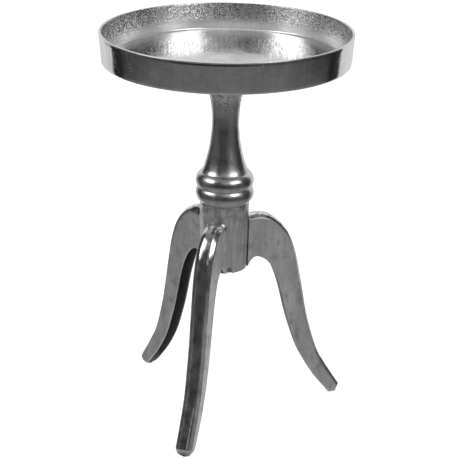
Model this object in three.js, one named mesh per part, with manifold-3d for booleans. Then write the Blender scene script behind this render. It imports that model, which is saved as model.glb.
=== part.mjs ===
// Round tray table in cast metal: a straight-walled tray on a turned column, and a hollow hub with
// three curved legs. Millimetres, +Z up. The origin is on the floor, under the middle of the column,
// and the front leg points along -Y.

import * as THREE from 'three';
import { mergeVertices } from 'three/addons/utils/BufferGeometryUtils.js';
import Module from 'manifold-3d';

const wasm = await Module();
wasm.setup();

// ---------------------------------------------------------------- driving dimensions

const GAP = 0.3; // clearance between pieces that rest on, or pass through, each other
const OVERRUN = 1; // how far a cutting tool runs past the faces that it cuts
const HEIGHT = 650; // floor to rim
const LEG_NAMES = ['front', 'right', 'left'];
const LEG_AZIMUTHS = [270, 30, 150]; // degrees from +X, anticlockwise seen from above

const TRAY_RADIUS = 200;
const TRAY_DEPTH = 48.5; // outside height of the wall
const TRAY_BASE_RADIUS = 196.3; // the wall leans out from here to the rim
const TRAY_CORNER = 3.2; // radius of the outside bottom corner
const RIM_THICKNESS = 4.5;
const RIM_ROUND = 1.2;
const FLOOR_THICKNESS = 5;
const FLOOR_RADIUS = 187.2;
const FLOOR_FILLET = 2;
const PAD_RADIUS = 46; // thick round pad under the middle of the floor
const PAD_DROP = 4;
const PAD_BEVEL = 1.5;

const FLANGE_RADIUS = 43;
const FLANGE_THICKNESS = 4.5;
const FLANGE_BOSS_RADIUS = 13;
const FLANGE_BOSS_LENGTH = 20;
const SCREW_RADIUS = 2.5;
const SCREW_HEAD_RADIUS = 4.8;
const SCREW_HEAD_HEIGHT = 3.2;
const SCREW_HEAD_CHAMFER = 1.2;
const SCREW_CIRCLE = 33;
const SCREW_COUNT = 4;
const SCREW_REACH = 6; // length of screw inside the tray pad

const BORE_RADIUS = 9; // bore of the column, round the tie rod
const BORE_MOUTH_RADIUS = 16; // wider top of the bore, round the boss of the flange
const BORE_MOUTH_DEPTH = 17;
const BORE_TAPER = 6; // height of the taper from the wide to the narrow bore
const LIP_RADIUS = 61; // top edge of the column, under the tray
const CUP_RADIUS = 50; // recess in the top of the column, over the flange
const CUP_DEPTH = 14;
const BEAD_RADIUS = 17; // the two rings are arcs of this radius
const BEAD_CENTRE = 30.4;
const UPPER_BEAD_Z = 404.3;
const LOWER_BEAD_Z = 383;
const UPPER_BEAD_ARC = [-36, 64]; // first and last angle of the arc, in degrees
const LOWER_BEAD_ARC = [-37, 39];
const COLLAR_RADIUS = 41.2;
const COLLAR_FOOT_RADIUS = 40.6;
const COLLAR_TOP = 372.2;
const SPIGOT_RADIUS = 29.4;
const SPIGOT_LENGTH = 3;

const HUB_TOP = 367;
const HUB_BOTTOM = 253.5;
const HUB_TOP_RADIUS = 40.4;
const HUB_BOTTOM_RADIUS = 38.5;
const HUB_INSIDE_RADIUS = 32;
const HUB_PLATE = 10; // thickness of the closed top, under the spigot
const HUB_CHAMFER = 3; // inside, between the plate and the wall
const HUB_NOTCH_WIDTH = 11;
const HUB_NOTCH_HEIGHT = 10;
const HUB_NOTCH_DEPTH = 3.5; // the notch is blind, cut into the wall from outside
const HUB_NOTCH_AZIMUTH = 301;

const ROD_RADIUS = 6;
const ROD_TOP = 596;
const ROD_BOTTOM = 334;
const THREAD_CHAMFER = 1; // at the ends of the rod and the bolts
const NUT_FLATS = 19;
const NUT_HEIGHT = 10;
const PLATE_WASHER_RADIUS = 17;
const PLATE_WASHER_THICKNESS = 2.5;
const LOCK_WASHER_RADIUS = 10.5;
const LOCK_WASHER_THICKNESS = 2.4;
const LOCK_WASHER_SPLIT = 2.5;

const FOOT_PAD_RADIUS = 5.5;
const FOOT_PAD_THICKNESS = 1.2;
const FOOT_PAD_CHAMFER = 0.6;
const FOOT_PAD_REACH = 195; // distance from the axis to the middle of a pad
const STEM_RADIUS = 2.5; // peg of a pad, pushed up into the leg
const STEM_LENGTH = 6;

const LEG_HALF_WIDTH_TOP = 15;
const LEG_HALF_WIDTH_TOE = 14;
const LEG_BEVEL_DEPTH = 6; // bevel along the outer edges of a leg: how deep, and how wide
const LEG_BEVEL_WIDTH = 7;
const LEG_CROWNING = 0.9; // rise of the outer face between its two bevels
const LEG_STATIONS = 26;
const LEG_WALL = 4; // sides of the open channel in the back of a leg
const LEG_FACE_WALL = 7;
const CHANNEL_STATIONS = 20;
const CHANNEL_OVERRUN = 8; // how far the cutting shape runs out of the leg's back
const CHANNEL_START = 0.1; // as shares of the leg's length
const CHANNEL_END = 0.94;
const TOE_TOP = [207, 15.5];
const TOE_TIP = [200, FOOT_PAD_THICKNESS + GAP];

const BOLT_RADIUS = 4;
const BOLT_HEIGHTS = { upper: 322, lower: 285 };
const BOLT_TIP = 57; // distance from the column's axis to the end of a bolt
const BOLT_FLATS = 13;
const BOLT_HEAD_HEIGHT = 5.3;
const WASHER_RADIUS = 8;
const WASHER_THICKNESS = 1.6;
const SPOT_FACE = 34; // distance from the axis to the flats under the washers
const SPOT_FACE_RADIUS = 8.5;

// Sides of the polygons that stand for circles.
const TRAY_SIDES = 64;
const HUB_SIDES = 48;
const COLUMN_SIDES = 36;
const FLANGE_SIDES = 32;
const WASHER_SIDES = 24;
const ROD_SIDES = 20;
const BOLT_SIDES = 16;
const SMALL_HOLE_SIDES = 12;
const NECK_STEPS = 15;

// Neck of the column: [radius, height] from the foot of its bell to the lip under the tray.
const NECK = [
  [37.6, 420.2], [34, 430.5], [29.5, 444], [25.4, 463], [22.9, 484.5], [22, 500.5],
  [23, 524.5], [26.2, 544.5], [34, 562], [47, 579.5], [58.5, 593], [LIP_RADIUS, 597.2],
];

// Side view of a leg: [distance from the axis, height]. The outer edge runs from the hub over the
// crown to the toe, and the inner edge from the hub over the arch to the sole.
const LEG_OUTER = [
  [37, 341.6], [56, 343.8], [70, 341.4], [84, 333.8], [100, 318.2], [113, 297], [123.5, 265],
  [132.8, 218], [145.3, 153], [163.8, 90], [182.3, 55], TOE_TOP,
];
const LEG_INNER = [
  [37, 254], [42.5, 263], [48.5, 269], [57, 269.4], [70, 261.5], [83, 242.5], [96, 206],
  [110, 150], [128.5, 94], [145, 61], [163, 34], [178, 15.5], [189, TOE_TIP[1]],
];

// Heights that follow from the ones above.
const TRAY_UNDERSIDE = HEIGHT - TRAY_DEPTH;
const PAD_FACE = TRAY_UNDERSIDE - PAD_DROP;
const FLANGE_TOP = PAD_FACE - GAP;
const FLANGE_BOTTOM = FLANGE_TOP - FLANGE_THICKNESS;
const COLUMN_TOP = TRAY_UNDERSIDE - GAP;
const COLUMN_BOTTOM = HUB_TOP + GAP;
const PLATE_TOP = HUB_TOP - SPIGOT_LENGTH;
const PLATE_BOTTOM = PLATE_TOP - HUB_PLATE;

// ---------------------------------------------------------------- finishes

const polishedCast = { color: 0xb9bbbd, roughness: 0.22, metalness: 1 };
const satinCast = { color: 0x8d8f91, roughness: 0.42, metalness: 1 };
const platedSteel = { color: 0xa7a8aa, roughness: 0.38, metalness: 1 };
const blackRubber = { color: 0x141414, roughness: 0.85, metalness: 0 };

// ---------------------------------------------------------------- solids and booleans

function toSolid(source) {
  const bare = source.index ? source.toNonIndexed() : source.clone();
  bare.deleteAttribute('normal');
  bare.deleteAttribute('uv');
  const merged = mergeVertices(bare, 1e-4);
  const corners = [];
  for (let i = 0; i < merged.index.count; i += 3) {
    const [a, b, c] = [0, 1, 2].map((k) => merged.index.getX(i + k));
    if (a !== b && b !== c && c !== a) corners.push(a, b, c);
  }
  const vertProperties = new Float32Array(merged.attributes.position.array);
  const triVerts = new Uint32Array(corners);
  return new wasm.Manifold(new wasm.Mesh({ numProp: 3, vertProperties, triVerts }));
}

function toGeometry(solid) {
  const mesh = solid.getMesh();
  const geometry = new THREE.BufferGeometry();
  geometry.setAttribute('position', new THREE.BufferAttribute(mesh.vertProperties, 3));
  geometry.setIndex(new THREE.BufferAttribute(mesh.triVerts, 1));
  geometry.computeVertexNormals();
  return geometry;
}

function subtractAll(solid, tools) {
  return tools.reduce((left, tool) => left.subtract(tool), solid);
}

function makeMesh(name, solid, finish) {
  const mesh = new THREE.Mesh(toGeometry(solid), new THREE.MeshStandardMaterial(finish));
  mesh.name = name;
  return mesh;
}

// ---------------------------------------------------------------- basic shapes

// Turned about +Z. The profile is a list of [radius, height], seen with the axis on the left and
// followed anticlockwise. It starts and ends on the axis, or closes on itself.
function turned(profile, segments) {
  const points = profile.map(([radius, height]) => new THREE.Vector2(radius, height));
  return toSolid(new THREE.LatheGeometry(points, segments).rotateX(Math.PI / 2));
}

function ring(inside, outside, bottom, top, segments) {
  return turned([[inside, bottom], [outside, bottom], [outside, top], [inside, top], [inside, bottom]],
    segments);
}

function prism(radius, bottom, top, sides) {
  const shape = new THREE.CylinderGeometry(radius, radius, top - bottom, sides);
  return toSolid(shape.rotateX(Math.PI / 2).translate(0, 0, (top + bottom) / 2));
}

function hexPrism(flats, bottom, top) {
  return prism(flats / 2 / Math.cos(Math.PI / 6), bottom, top, 6);
}

function block(width, depth, height, x, y, z) {
  return toSolid(new THREE.BoxGeometry(width, depth, height).translate(x, y, z));
}

// Turns a solid that stands along +Z so that it lies along +X, at a height above the floor.
function laidRadially(solid, height) {
  return solid.rotate([0, 90, 0]).translate([0, 0, height]);
}

function arc(centre, radius, from, to, steps) {
  const points = [];
  for (let i = 0; i <= steps; i += 1) {
    const angle = THREE.MathUtils.degToRad(from + ((to - from) * i) / steps);
    points.push([centre[0] + radius * Math.cos(angle), centre[1] + radius * Math.sin(angle)]);
  }
  return points;
}

function spline(points) {
  return new THREE.SplineCurve(points.map(([x, y]) => new THREE.Vector2(x, y)));
}

// Closed body through a row of sections, each a loop of the same number of points.
function loft(sections) {
  const sides = sections[0].length;
  const last = (sections.length - 1) * sides;
  const index = [];
  for (let s = 0; s < sections.length - 1; s += 1) {
    for (let i = 0; i < sides; i += 1) {
      const a = s * sides + i;
      const b = s * sides + ((i + 1) % sides);
      index.push(a, b, b + sides, a, b + sides, a + sides);
    }
  }
  for (let i = 1; i < sides - 1; i += 1) {
    index.push(0, i + 1, i);
    index.push(last, last + i, last + i + 1);
  }
  const geometry = new THREE.BufferGeometry().setFromPoints(sections.flat());
  geometry.setIndex(index);
  return toSolid(geometry);
}

// ---------------------------------------------------------------- tray and its fixing

function screwPlaces() {
  const places = [];
  for (let i = 0; i < SCREW_COUNT; i += 1) {
    const angle = ((i + 0.5) * 2 * Math.PI) / SCREW_COUNT;
    places.push([SCREW_CIRCLE * Math.cos(angle), SCREW_CIRCLE * Math.sin(angle), 0]);
  }
  return places;
}

function trayPan() {
  const floorTop = TRAY_UNDERSIDE + FLOOR_THICKNESS;
  const shoulder = HEIGHT - RIM_ROUND;
  const cornerRadius = TRAY_BASE_RADIUS - TRAY_CORNER;
  const outerRim = [TRAY_RADIUS - RIM_ROUND, shoulder];
  const innerRim = [TRAY_RADIUS - RIM_THICKNESS + RIM_ROUND, shoulder];
  const profile = [
    [0, PAD_FACE],
    [PAD_RADIUS, PAD_FACE],
    [PAD_RADIUS + PAD_BEVEL, TRAY_UNDERSIDE],
    ...arc([cornerRadius, TRAY_UNDERSIDE + TRAY_CORNER], TRAY_CORNER, -90, -5, 3),
    ...arc(outerRim, RIM_ROUND, 0, 90, 2),
    ...arc(innerRim, RIM_ROUND, 90, 180, 2),
    [FLOOR_RADIUS + FLOOR_FILLET, floorTop + FLOOR_FILLET],
    [FLOOR_RADIUS, floorTop],
    [0, floorTop],
  ];
  const holeTop = PAD_FACE + SCREW_REACH + GAP;
  const hole = prism(SCREW_RADIUS + GAP, PAD_FACE - OVERRUN, holeTop, SMALL_HOLE_SIDES);
  return subtractAll(turned(profile, TRAY_SIDES), screwPlaces().map((place) => hole.translate(place)));
}

function trayFlange() {
  const bore = ROD_RADIUS + GAP;
  const bossFoot = FLANGE_BOTTOM - FLANGE_BOSS_LENGTH;
  const profile = [
    [bore, bossFoot],
    [FLANGE_BOSS_RADIUS, bossFoot],
    [FLANGE_BOSS_RADIUS + 1, FLANGE_BOTTOM],
    [FLANGE_RADIUS, FLANGE_BOTTOM],
    [FLANGE_RADIUS, FLANGE_TOP],
    [bore, FLANGE_TOP],
    [bore, bossFoot],
  ];
  const hole = prism(SCREW_RADIUS + GAP, FLANGE_BOTTOM - OVERRUN, FLANGE_TOP + OVERRUN, SMALL_HOLE_SIDES);
  return subtractAll(turned(profile, FLANGE_SIDES), screwPlaces().map((place) => hole.translate(place)));
}

function flangeScrew() {
  const headTop = FLANGE_BOTTOM - GAP;
  const headBottom = headTop - SCREW_HEAD_HEIGHT;
  return turned([
    [0, headBottom],
    [SCREW_HEAD_RADIUS - SCREW_HEAD_CHAMFER, headBottom],
    [SCREW_HEAD_RADIUS, headBottom + SCREW_HEAD_CHAMFER],
    [SCREW_HEAD_RADIUS, headTop],
    [SCREW_RADIUS, headTop],
    [SCREW_RADIUS, PAD_FACE + SCREW_REACH],
    [0, PAD_FACE + SCREW_REACH],
  ], BOLT_SIDES);
}

// ---------------------------------------------------------------- column, hub and tie rod

function columnSpindle() {
  const spigotFoot = COLUMN_BOTTOM - SPIGOT_LENGTH;
  const neck = spline(NECK).getSpacedPoints(NECK_STEPS).map((point) => [point.x, point.y]);
  const cupFloor = COLUMN_TOP - CUP_DEPTH;
  return turned([
    [BORE_RADIUS, spigotFoot],
    [SPIGOT_RADIUS, spigotFoot],
    [SPIGOT_RADIUS, COLUMN_BOTTOM],
    [COLLAR_FOOT_RADIUS, COLUMN_BOTTOM],
    [COLLAR_RADIUS, COLLAR_TOP],
    ...arc([BEAD_CENTRE, LOWER_BEAD_Z], BEAD_RADIUS, ...LOWER_BEAD_ARC, 5),
    ...arc([BEAD_CENTRE, UPPER_BEAD_Z], BEAD_RADIUS, ...UPPER_BEAD_ARC, 6),
    ...neck,
    [LIP_RADIUS, COLUMN_TOP],
    [CUP_RADIUS, COLUMN_TOP],
    [CUP_RADIUS, cupFloor],
    [BORE_MOUTH_RADIUS, cupFloor],
    [BORE_MOUTH_RADIUS, cupFloor - BORE_MOUTH_DEPTH],
    [BORE_RADIUS, cupFloor - BORE_MOUTH_DEPTH - BORE_TAPER],
    [BORE_RADIUS, spigotFoot],
  ], COLUMN_SIDES);
}

function notchTool() {
  const half = HUB_NOTCH_WIDTH / 2;
  const arch = new THREE.Shape();
  arch.moveTo(-half, -half);
  arch.lineTo(half, -half);
  arch.lineTo(half, HUB_NOTCH_HEIGHT - half);
  arch.absarc(0, HUB_NOTCH_HEIGHT - half, half, 0, Math.PI, false);
  const depth = HUB_TOP_RADIUS - HUB_BOTTOM_RADIUS + HUB_NOTCH_DEPTH + OVERRUN;
  const tool = new THREE.ExtrudeGeometry(arch, { depth, bevelEnabled: false, curveSegments: 8 });
  tool.rotateX(Math.PI / 2).rotateZ(Math.PI / 2);
  tool.translate(HUB_BOTTOM_RADIUS - HUB_NOTCH_DEPTH, 0, HUB_BOTTOM);
  return toSolid(tool).rotate([0, 0, HUB_NOTCH_AZIMUTH]);
}

function boltTools(azimuth) {
  const start = HUB_INSIDE_RADIUS / 2;
  const spot = prism(SPOT_FACE_RADIUS, start, SPOT_FACE, WASHER_SIDES);
  const hole = prism(BOLT_RADIUS + 2 * GAP, start, HUB_TOP_RADIUS + OVERRUN, BOLT_SIDES);
  const tool = spot.add(hole);
  return Object.values(BOLT_HEIGHTS).map((height) => laidRadially(tool, height).rotate([0, 0, azimuth]));
}

function legHub() {
  const recess = SPIGOT_RADIUS + GAP;
  const hole = ROD_RADIUS + 2 * GAP;
  const body = turned([
    [hole, PLATE_BOTTOM],
    [HUB_INSIDE_RADIUS - HUB_CHAMFER, PLATE_BOTTOM],
    [HUB_INSIDE_RADIUS, PLATE_BOTTOM - HUB_CHAMFER],
    [HUB_INSIDE_RADIUS, HUB_BOTTOM],
    [HUB_BOTTOM_RADIUS, HUB_BOTTOM],
    [HUB_TOP_RADIUS, HUB_TOP],
    [recess, HUB_TOP],
    [recess, PLATE_TOP],
    [hole, PLATE_TOP],
    [hole, PLATE_BOTTOM],
  ], HUB_SIDES);
  return subtractAll(body, [notchTool(), ...LEG_AZIMUTHS.flatMap(boltTools)]);
}

function tieRod() {
  return turned([
    [0, ROD_BOTTOM],
    [ROD_RADIUS - THREAD_CHAMFER, ROD_BOTTOM],
    [ROD_RADIUS, ROD_BOTTOM + THREAD_CHAMFER],
    [ROD_RADIUS, ROD_TOP - THREAD_CHAMFER],
    [ROD_RADIUS - THREAD_CHAMFER, ROD_TOP],
    [0, ROD_TOP],
  ], ROD_SIDES);
}

// The washers and the nut hang under the hub's plate, each a gap below the one above it.
function rodFixings() {
  const hole = ROD_RADIUS + GAP;
  const plateTop = PLATE_BOTTOM - GAP;
  const lockTop = plateTop - PLATE_WASHER_THICKNESS - GAP;
  const nutTop = lockTop - LOCK_WASHER_THICKNESS - GAP;
  const lockBottom = lockTop - LOCK_WASHER_THICKNESS;
  const plateBottom = plateTop - PLATE_WASHER_THICKNESS;
  const lockRing = ring(hole, LOCK_WASHER_RADIUS, lockBottom, lockTop, WASHER_SIDES);
  const splitHeight = 4 * LOCK_WASHER_THICKNESS;
  const split = block(LOCK_WASHER_RADIUS, LOCK_WASHER_SPLIT, splitHeight, LOCK_WASHER_RADIUS, 0, lockTop);
  const nutHole = prism(hole, nutTop - NUT_HEIGHT - OVERRUN, nutTop + OVERRUN, ROD_SIDES);
  return {
    tie_rod_plate_washer: ring(hole, PLATE_WASHER_RADIUS, plateBottom, plateTop, WASHER_SIDES),
    tie_rod_lock_washer: lockRing.subtract(split),
    tie_rod_nut: hexPrism(NUT_FLATS, nutTop - NUT_HEIGHT, nutTop).subtract(nutHole),
  };
}

// ---------------------------------------------------------------- legs, in the plane of +X and +Z

// One place along a leg, 0 at the hub and 1 at the toe: the outer and inner edge points, the
// direction from the outer face into the leg, and half the leg's width.
function legStation(share) {
  const outer = spline(LEG_OUTER);
  const tangent = outer.getTangentAt(share);
  return {
    outer: outer.getPointAt(share),
    inner: share < 1 ? spline(LEG_INNER).getPointAt(share) : new THREE.Vector2(...TOE_TIP),
    inward: new THREE.Vector2(tangent.y, -tangent.x),
    half: THREE.MathUtils.lerp(LEG_HALF_WIDTH_TOP, LEG_HALF_WIDTH_TOE, share),
  };
}

function onLeg(point, side) {
  return new THREE.Vector3(point.x, side, point.y);
}

function legSection(share) {
  const { outer, inner, inward, half } = legStation(share);
  const faceEdge = outer.clone().addScaledVector(inward, LEG_CROWNING);
  const bevelEdge = outer.clone().addScaledVector(inward, LEG_BEVEL_DEPTH);
  const faceHalf = half - LEG_BEVEL_WIDTH;
  return [
    onLeg(inner, -half),
    onLeg(inner, half),
    onLeg(bevelEdge, half),
    onLeg(faceEdge, faceHalf),
    onLeg(outer, 0),
    onLeg(faceEdge, -faceHalf),
    onLeg(bevelEdge, -half),
  ];
}

function channelSection(share) {
  const { outer, inner, inward, half } = legStation(share);
  const roof = outer.clone().addScaledVector(inward, LEG_FACE_WALL);
  const mouth = inner.clone().add(inner.clone().sub(outer).setLength(CHANNEL_OVERRUN));
  const side = half - LEG_WALL;
  return [onLeg(mouth, -side), onLeg(mouth, side), onLeg(roof, side), onLeg(roof, -side)];
}

function shares(from, to, steps) {
  return Array.from({ length: steps + 1 }, (_, i) => from + ((to - from) * i) / steps);
}

function leg() {
  const body = loft(shares(0, 1, LEG_STATIONS).map(legSection));
  const channel = loft(shares(CHANNEL_START, CHANNEL_END, CHANNEL_STATIONS).map(channelSection));
  const hubSide = turned([
    [0, 0],
    [HUB_BOTTOM_RADIUS + GAP, 0],
    [HUB_BOTTOM_RADIUS + GAP, HUB_BOTTOM],
    [HUB_TOP_RADIUS + GAP, HUB_TOP],
    [0, HUB_TOP],
  ], HUB_SIDES);
  const hole = prism(BOLT_RADIUS + GAP, HUB_INSIDE_RADIUS, BOLT_TIP + OVERRUN, BOLT_SIDES);
  const stemTop = FOOT_PAD_THICKNESS + STEM_LENGTH + GAP;
  const stemHole = prism(STEM_RADIUS + GAP, -OVERRUN, stemTop, SMALL_HOLE_SIDES);
  return subtractAll(body, [
    channel,
    hubSide,
    ...Object.values(BOLT_HEIGHTS).map((height) => laidRadially(hole, height)),
    stemHole.translate([FOOT_PAD_REACH, 0, 0]),
  ]);
}

function legWasher(height) {
  const outerFace = SPOT_FACE - GAP;
  const innerFace = outerFace - WASHER_THICKNESS;
  return laidRadially(ring(BOLT_RADIUS + GAP, WASHER_RADIUS, innerFace, outerFace, BOLT_SIDES), height);
}

function legBolt(height) {
  const seat = SPOT_FACE - WASHER_THICKNESS - 2 * GAP;
  const shank = turned([
    [0, seat - OVERRUN],
    [BOLT_RADIUS, seat - OVERRUN],
    [BOLT_RADIUS, BOLT_TIP - THREAD_CHAMFER],
    [BOLT_RADIUS - THREAD_CHAMFER, BOLT_TIP],
    [0, BOLT_TIP],
  ], BOLT_SIDES);
  return laidRadially(shank.add(hexPrism(BOLT_FLATS, seat - BOLT_HEAD_HEIGHT, seat)), height);
}

function footPad() {
  const pad = turned([
    [0, 0],
    [FOOT_PAD_RADIUS - FOOT_PAD_CHAMFER, 0],
    [FOOT_PAD_RADIUS, FOOT_PAD_CHAMFER],
    [FOOT_PAD_RADIUS, FOOT_PAD_THICKNESS],
    [STEM_RADIUS, FOOT_PAD_THICKNESS],
    [STEM_RADIUS, FOOT_PAD_THICKNESS + STEM_LENGTH],
    [0, FOOT_PAD_THICKNESS + STEM_LENGTH],
  ], ROD_SIDES);
  return pad.translate([FOOT_PAD_REACH, 0, 0]);
}

function legGroup(name, azimuth) {
  const group = new THREE.Group();
  group.rotation.z = THREE.MathUtils.degToRad(azimuth);
  group.add(makeMesh(`leg_${name}`, leg(), satinCast));
  group.add(makeMesh(`foot_pad_${name}`, footPad(), blackRubber));
  for (const [place, height] of Object.entries(BOLT_HEIGHTS)) {
    group.add(makeMesh(`leg_bolt_${name}_${place}`, legBolt(height), platedSteel));
    group.add(makeMesh(`leg_washer_${name}_${place}`, legWasher(height), platedSteel));
  }
  return group;
}

// ---------------------------------------------------------------- the whole table

const table = new THREE.Group();
table.add(makeMesh('tray_pan', trayPan(), polishedCast));
table.add(makeMesh('tray_flange', trayFlange(), platedSteel));
screwPlaces().forEach((place, i) => {
  table.add(makeMesh(`flange_screw_${i + 1}`, flangeScrew().translate(place), platedSteel));
});
table.add(makeMesh('column_spindle', columnSpindle(), polishedCast));
table.add(makeMesh('leg_hub', legHub(), satinCast));
table.add(makeMesh('tie_rod', tieRod(), platedSteel));
for (const [name, solid] of Object.entries(rodFixings())) {
  table.add(makeMesh(name, solid, platedSteel));
}
LEG_NAMES.forEach((name, i) => table.add(legGroup(name, LEG_AZIMUTHS[i])));

export default table;
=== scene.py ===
# Round tray table in polished cast metal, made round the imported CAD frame. Metres, +Z up. The origin
# is on the floor under the column, and the front leg points along -Y.

import math

import bmesh
import bpy
from mathutils import Matrix, Vector, noise


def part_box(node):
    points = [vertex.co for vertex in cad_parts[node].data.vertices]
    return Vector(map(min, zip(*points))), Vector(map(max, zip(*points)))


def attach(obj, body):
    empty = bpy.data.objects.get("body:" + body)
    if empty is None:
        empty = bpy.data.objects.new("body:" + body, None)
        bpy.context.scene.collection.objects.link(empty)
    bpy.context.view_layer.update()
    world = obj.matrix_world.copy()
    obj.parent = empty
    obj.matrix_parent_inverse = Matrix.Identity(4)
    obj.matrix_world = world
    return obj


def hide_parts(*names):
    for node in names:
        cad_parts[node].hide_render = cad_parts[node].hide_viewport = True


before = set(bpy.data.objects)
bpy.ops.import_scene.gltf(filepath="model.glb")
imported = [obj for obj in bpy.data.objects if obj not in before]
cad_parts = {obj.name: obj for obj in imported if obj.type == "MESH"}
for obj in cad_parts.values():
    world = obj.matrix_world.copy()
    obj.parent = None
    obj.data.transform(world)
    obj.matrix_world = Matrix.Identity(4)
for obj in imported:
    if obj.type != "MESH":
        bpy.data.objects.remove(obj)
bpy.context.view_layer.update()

# ---------------------------------------------------------------- sizes taken from the frame

TRAY_LOW, TRAY_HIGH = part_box("tray_pan")
COLUMN_LOW, COLUMN_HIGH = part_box("column_spindle")
HUB_LOW, HUB_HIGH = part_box("leg_hub")

TRAY_RADIUS = TRAY_HIGH.x
RIM_Z = TRAY_HIGH.z
HUB_BOTTOM = HUB_LOW.z
HUB_TOP = HUB_HIGH.z

# ---------------------------------------------------------------- sizes of the finer shapes

# Outlines hold (distance from the axis, height). A bead's arc holds its first and last angle in
# degrees and its number of steps. Places along a leg are shares of its length, 0 at the hub.

TRAY_DEPTH = 0.0485
TRAY_BASE_RADIUS = 0.1963
TRAY_CORNER = 0.0032
RIM_THICKNESS = 0.0045
RIM_ROUND = 0.0012
RIM_EDGE = 0.0016
RIM_GROOVE_HEIGHT = 0.0034
RIM_GROOVE_DEPTH = 0.0003
FLOOR_THICKNESS = 0.005
FLOOR_RADIUS = 0.1889
FLOOR_FILLET = 0.0026
PAD_RADIUS = 0.046
PAD_BEVEL = 0.0015

BEAD_RADIUS = 0.017
BEAD_CENTRE = 0.0304
UPPER_BEAD_Z = 0.4043
LOWER_BEAD_Z = 0.383
UPPER_BEAD_ARC = (-36, 64, 30)
LOWER_BEAD_ARC = (-37, 39, 24)
COLLAR_RADIUS = 0.0412
COLLAR_FOOT_RADIUS = 0.0406
COLLAR_TOP = 0.3722
BORE_RADIUS = 0.009
CUP_RADIUS = 0.05
CUP_DEPTH = 0.014
BORE_MOUTH_RADIUS = 0.016
BORE_MOUTH_DEPTH = 0.017
BORE_TAPER = 0.006
SPIGOT_RADIUS = 0.0294
SPIGOT_LENGTH = 0.003
SPIGOT_GAP = 0.0003
POROUS_AZIMUTH = math.radians(-35)
NECK = [
    (0.0392, 0.4196), (0.0358, 0.4248), (0.0328, 0.4328), (0.0293, 0.445), (0.0254, 0.463),
    (0.0229, 0.4845), (0.022, 0.5005), (0.023, 0.5245), (0.0262, 0.5445), (0.034, 0.562),
    (0.047, 0.5795), (0.0585, 0.593), (0.061, 0.5972),
]

HUB_TOP_RADIUS = 0.0404
HUB_BOTTOM_RADIUS = 0.0385
HUB_INSIDE_RADIUS = 0.032
HUB_PLATE = 0.01
HUB_CHAMFER = 0.003
HUB_HOLE_RADIUS = 0.0066
NOTCH_HALF_WIDTH = 0.0055
NOTCH_HEIGHT = 0.01
NOTCH_DEPTH = 0.0035
NOTCH_EDGE = 0.0008
NOTCH_MARGIN = 1.3
NOTCH_AZIMUTH = math.radians(301)

LEG_AZIMUTHS = {"front": 270, "right": 30, "left": 150}
LEG_HALF_WIDTH_TOP = 0.015
LEG_HALF_WIDTH_TOE = 0.014
LEG_BEVEL_DEPTH = 0.006
LEG_BEVEL_WIDTH = 0.007
LEG_CROWNING_TOP = 0.0009
LEG_CROWNING_TOE = 0.0002
LEG_WALL = 0.004
LEG_FACE_WALL = 0.007
CHANNEL_DRAFT = 0.0012
EDGE_CUT = 0.0016
LIP_CUT = 0.0009
ROOF_CUT = 0.003
FACE_CUT = 0.0022
RIDGE_CUT = 0.006
CHANNEL_START = 0.1
CHANNEL_END = 0.94
CHANNEL_RISE = 0.05
CHANNEL_FALL = 0.03
ROOT_FLARE = 0.0022
ROOT_FLARE_REACH = 0.006
ROOT_SINK = 0.0006
END_ROUND = 0.0016
SOLE_ROUND = 0.008
LEG_OUTER = [
    (0.037, 0.3416), (0.056, 0.3438), (0.07, 0.3414), (0.084, 0.3338), (0.1, 0.3182), (0.113, 0.297),
    (0.1235, 0.265), (0.1328, 0.218), (0.1453, 0.153), (0.1638, 0.09), (0.1823, 0.055), (0.207, 0.0155),
]
LEG_INNER = [
    (0.037, 0.254), (0.0425, 0.263), (0.0485, 0.269), (0.057, 0.2694), (0.07, 0.2615), (0.083, 0.2425),
    (0.096, 0.206), (0.11, 0.15), (0.1285, 0.094), (0.145, 0.061), (0.163, 0.034), (0.178, 0.0155),
    (0.189, 0.0015),
]
TOE_TIP = Vector((0.2, 0.0015))

# ---------------------------------------------------------------- how finely the meshes are divided

TRAY_SIDES = 320
COLUMN_SIDES = 160
HUB_SIDES = 150
NOTCH_SIDES = 28
OUTLINE_STEP = 0.0025
NOTCH_STEP = 0.0005
LEG_ROWS = 120
ROOT_ROWS = 8
TOE_ROWS = 10
ROOT_SHARE = 0.012
TOE_SHARE = 0.018
PATH_STEPS = 40
NECK_STEPS = 8
SHARP_ANGLE = math.radians(35)

# ---------------------------------------------------------------- camera

CAMERA_AZIMUTH = math.radians(17.1)
CAMERA_DISTANCE = 2.1855
CAMERA_HEIGHT = 1.1782
CAMERA_PITCH = math.radians(21.5)
CAMERA_ROLL = math.radians(0.87)
CAMERA_ASIDE = 0.008
SENSOR_WIDTH = 36.0
LENS = 112.4


def make_camera():
    data = bpy.data.cameras.new("camera")
    data.sensor_width = SENSOR_WIDTH
    data.lens = LENS
    camera = bpy.data.objects.new("camera", data)
    turn = Matrix.Rotation(CAMERA_AZIMUTH, 4, "Z")
    tilt = Matrix.Rotation(math.pi / 2 - CAMERA_PITCH, 4, "X")
    roll = Matrix.Rotation(CAMERA_ROLL, 4, "Z")
    place = Matrix.Translation((CAMERA_ASIDE, -CAMERA_DISTANCE, CAMERA_HEIGHT))
    camera.matrix_world = turn @ place @ tilt @ roll
    bpy.context.scene.collection.objects.link(camera)
    bpy.context.scene.camera = camera


# ---------------------------------------------------------------- outlines


def vectors(points):
    return [Vector(point) for point in points]


def arc(centre, radius, start, end, steps):
    """Points on part of a circle, with start and end in degrees."""
    points = []
    for i in range(steps + 1):
        angle = math.radians(start + (end - start) * i / steps)
        x = centre[0] + radius * math.cos(angle)
        y = centre[1] + radius * math.sin(angle)
        points.append(Vector((x, y)))
    return points


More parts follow.
